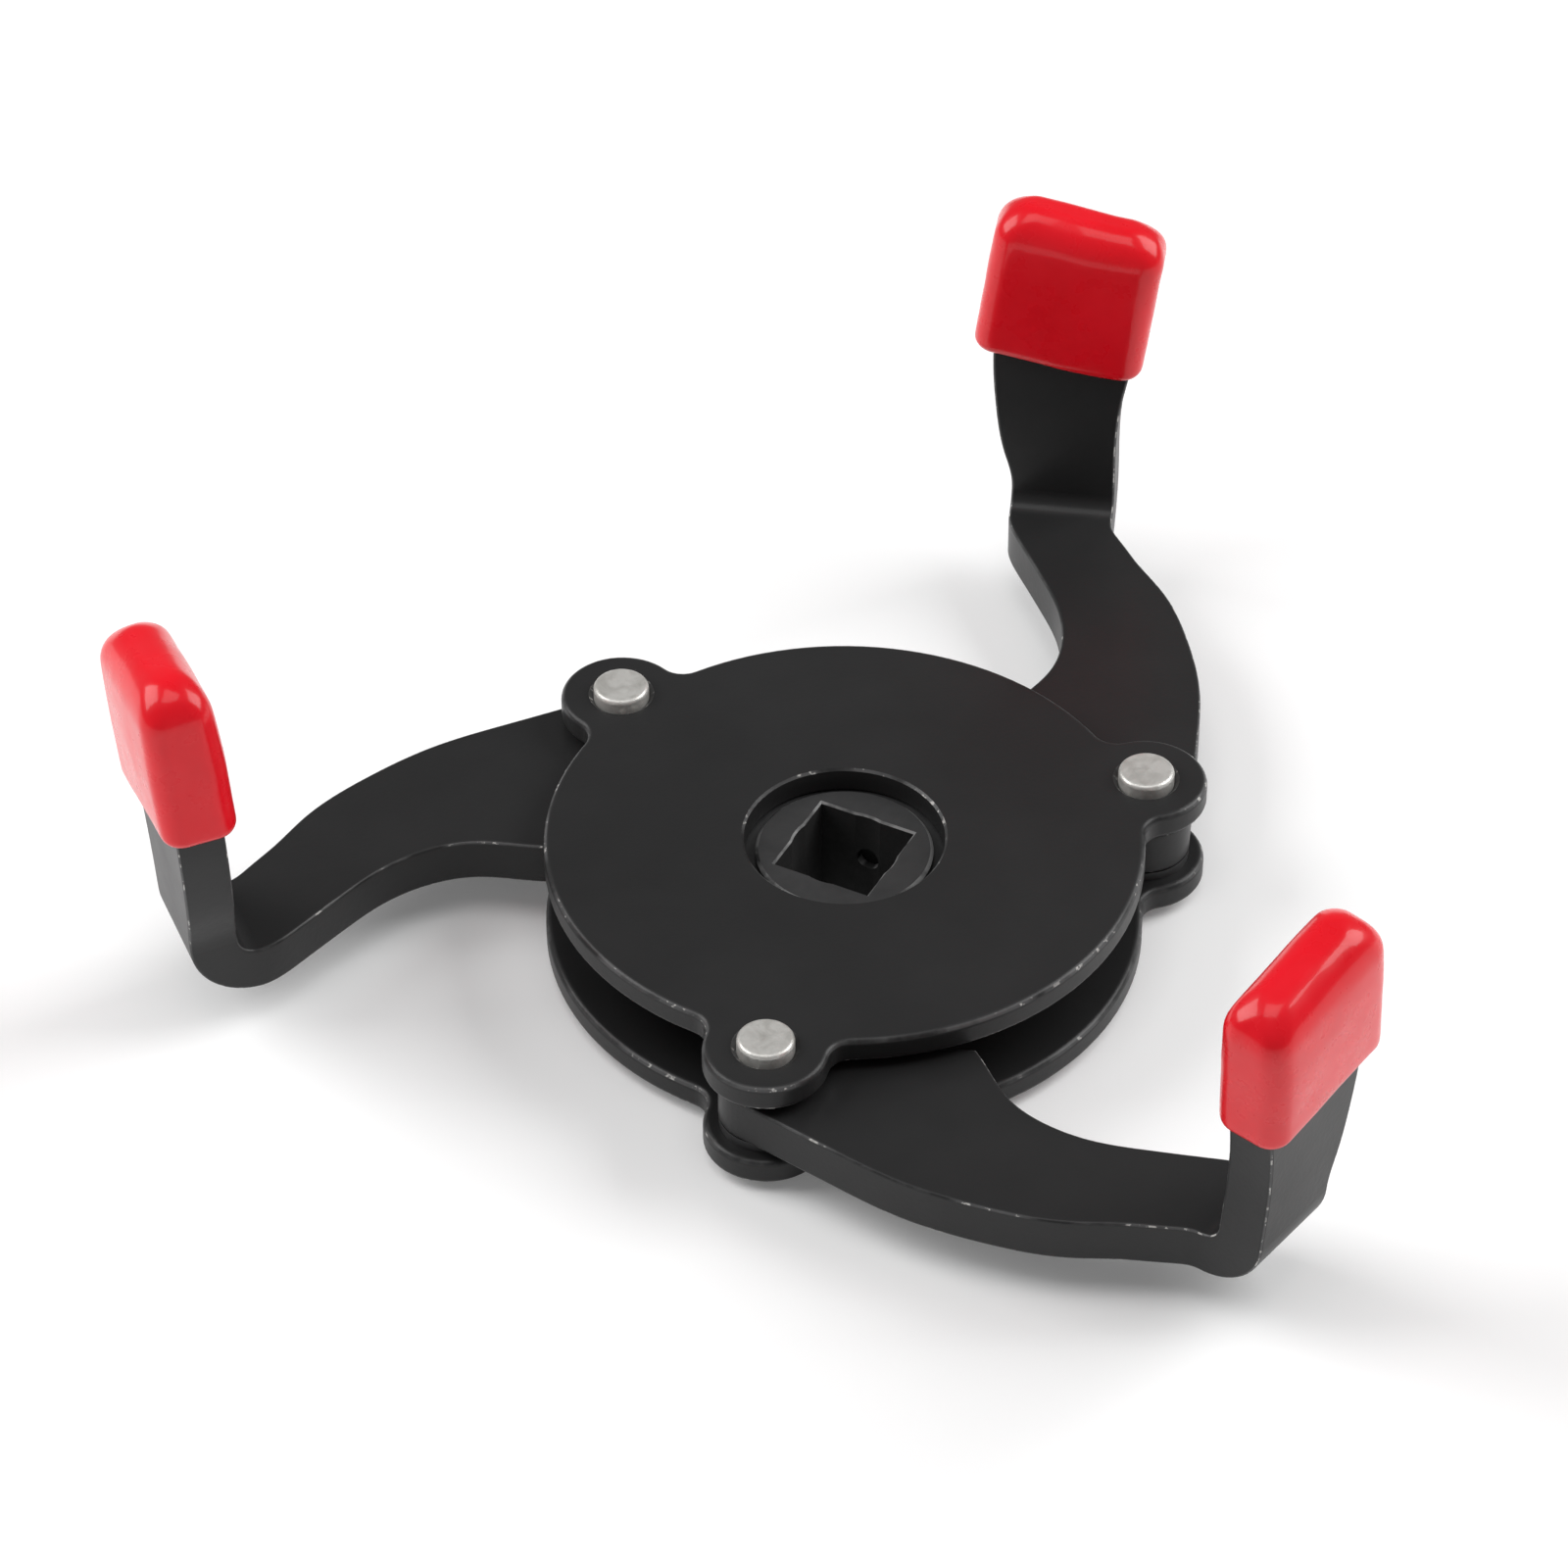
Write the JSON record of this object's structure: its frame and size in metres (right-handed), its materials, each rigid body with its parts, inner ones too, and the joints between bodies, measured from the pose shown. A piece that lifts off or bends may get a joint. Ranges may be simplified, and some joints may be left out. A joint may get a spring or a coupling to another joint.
{
  "type": "three-jaw oil filter wrench",
  "caption": "Geared three-jaw oil filter wrench: a square-drive gear swings dipped jaws in or out to grip a filter canister.",
  "frame": {"origin": "on the drive axis, in the drive-side face of the hub", "axes": "+Z along the drive axis, from the drive side to the jaws; +X through the first pivot pin"},
  "size_m": [0.1488, 0.1588, 0.0567],
  "materials": {
    "plate_paint": "black satin paint over punched steel plate",
    "arm_paint": "black satin paint over bent steel bar, edges worn",
    "hub_steel": "black oxide steel",
    "pin_steel": "bare satin steel",
    "washer_steel": "dark steel",
    "red_vinyl": "glossy dipped vinyl"
  },
  "bodies": {
    "frame": {"top_plate": "plate_paint", "bottom_plate": "plate_paint", "pivot_pin_1": "pin_steel", "lower_washer_1": "washer_steel", "upper_washer_1": "washer_steel", "pivot_pin_2": "pin_steel", "lower_washer_2": "washer_steel", "upper_washer_2": "washer_steel", "pivot_pin_3": "pin_steel", "lower_washer_3": "washer_steel", "upper_washer_3": "washer_steel"},
    "drive": {"drive_gear": "hub_steel"},
    "arm_1": {"arm_1": "arm_paint", "grip_1": "red_vinyl"},
    "arm_2": {"arm_2": "arm_paint", "grip_2": "red_vinyl"},
    "arm_3": {"arm_3": "arm_paint", "grip_3": "red_vinyl"}
  },
  "joints": [
    {"name": "drive_spin", "type": "hinge", "parent": "frame", "child": "drive", "pos_m": [0, 0, 0.008], "axis": [0, 0, 1], "range_deg": [-65, 17.5]},
    {"name": "arm_1_swing", "type": "hinge", "parent": "frame", "child": "arm_1", "pos_m": [0.039, 0, 0.00915], "axis": [0, 0, 1], "range_deg": [-11.9, 44.1]},
    {"name": "arm_2_swing", "type": "hinge", "parent": "frame", "child": "arm_2", "pos_m": [-0.0195, 0.03377, 0.00915], "axis": [0, 0, 1], "range_deg": [-11.9, 44.1]},
    {"name": "arm_3_swing", "type": "hinge", "parent": "frame", "child": "arm_3", "pos_m": [-0.0195, -0.03377, 0.00915], "axis": [0, 0, 1], "range_deg": [-11.9, 44.1]}
  ],
  "couplings": [
    {"joint": "arm_1_swing", "follows": "drive_spin", "ratio": -0.67742},
    {"joint": "arm_2_swing", "follows": "drive_spin", "ratio": -0.67742},
    {"joint": "arm_3_swing", "follows": "drive_spin", "ratio": -0.67742}
  ]
}
